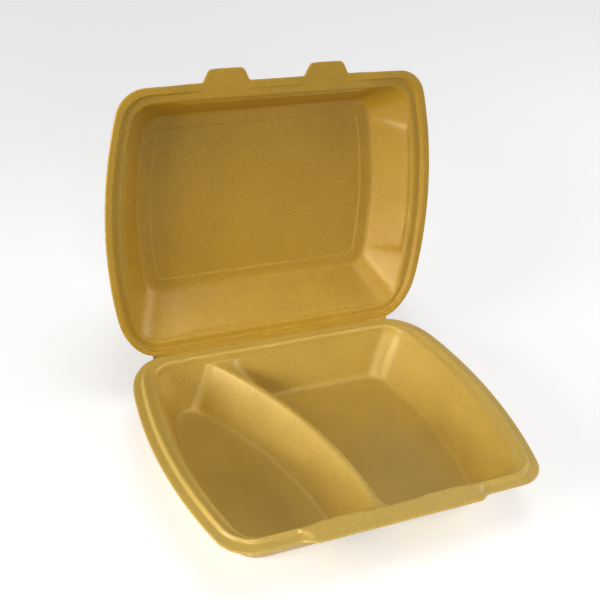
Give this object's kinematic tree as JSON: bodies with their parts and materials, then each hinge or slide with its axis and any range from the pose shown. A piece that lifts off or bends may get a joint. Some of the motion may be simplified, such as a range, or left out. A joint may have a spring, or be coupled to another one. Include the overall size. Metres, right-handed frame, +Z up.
{
  "type": "hinged meal box",
  "caption": "Shallow foam meal box with bowed sides: a base split by a curved divider into a small and a large compartment, and a hinged lid with closing tabs.",
  "frame": {"origin": "middle of the open box's footprint, on the underside of the base", "axes": "+X along the hinge to the larger compartment, +Y from the front edge to the hinge, +Z up"},
  "size_m": [0.24, 0.2548, 0.2249],
  "materials": {
    "foam": "pearly gold foam sheet, satin"
  },
  "bodies": {
    "base": {"base_tray": "foam"},
    "cover": {"lid": "foam"}
  },
  "joints": [
    {"name": "lid_hinge", "type": "hinge", "parent": "base", "child": "cover", "pos_m": [0, 0.06055, 0.0402], "axis": [-1, 0, 0], "range_deg": [-103, 77]}
  ]
}
